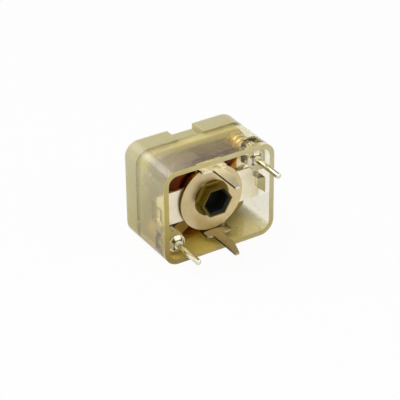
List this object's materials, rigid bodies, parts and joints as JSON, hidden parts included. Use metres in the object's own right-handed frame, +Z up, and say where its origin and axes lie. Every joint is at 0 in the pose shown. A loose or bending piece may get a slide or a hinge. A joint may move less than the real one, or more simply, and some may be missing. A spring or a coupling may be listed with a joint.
{
  "type": "trimmer capacitor",
  "caption": "Boxed film trimmer capacitor with a rotor that turns from either face, wire pins on the stator and sheet tags on the rotor.",
  "frame": {"origin": "under the middle of the part's box, on the surface that its long side lies on", "axes": "+X along the long side of the case, +Y from the terminals into the case along the rotor's axis, +Z up across the case"},
  "size_m": [0.0138, 0.0122, 0.0114],
  "materials": {
    "clear_plastic": "clear amber moulding, glossy",
    "milky_plastic": "translucent milky moulding, satin",
    "tinned_sheet": "tin-plated sheet, bright satin",
    "disc_brass": "plated brass, satin",
    "black_plastic": "black moulding, satin",
    "tinned_wire": "tinned wire, bright",
    "star_steel": "plated spring steel",
    "rotor_brass": "rolled brass sheet",
    "stator_brass": "plated brass sheet",
    "film": "dark amber dielectric film",
    "spacer_brass": "turned brass"
  },
  "bodies": {
    "case": {"cover": "clear_plastic", "base": "milky_plastic", "rotor_terminal": "tinned_sheet", "stator_pin_left": "tinned_wire", "stator_pin_right": "tinned_wire", "pin_star_left": "star_steel", "pin_star_right": "star_steel", "stator_plate_1": "stator_brass", "stator_plate_2": "stator_brass", "stator_plate_3": "stator_brass", "stator_plate_4": "stator_brass", "film_1": "film", "film_2": "film", "film_3": "film", "film_4": "film", "film_5": "film", "film_6": "film", "film_7": "film", "spacer_left_1": "spacer_brass", "spacer_left_2": "spacer_brass", "spacer_left_3": "spacer_brass", "spacer_right_1": "spacer_brass", "spacer_right_2": "spacer_brass", "spacer_right_3": "spacer_brass"},
    "rotor": {"spindle": "black_plastic", "contact_disc": "disc_brass", "rotor_plate_1": "rotor_brass", "rotor_plate_2": "rotor_brass", "rotor_plate_3": "rotor_brass", "hub_ring_1": "rotor_brass", "hub_ring_2": "rotor_brass", "hub_ring_3": "rotor_brass"}
  },
  "joints": [
    {"name": "rotor_turn", "type": "hinge", "parent": "case", "child": "rotor", "pos_m": [0, -0.0022, 0.0057], "axis": [0, 1, 0], "continuous": true}
  ]
}
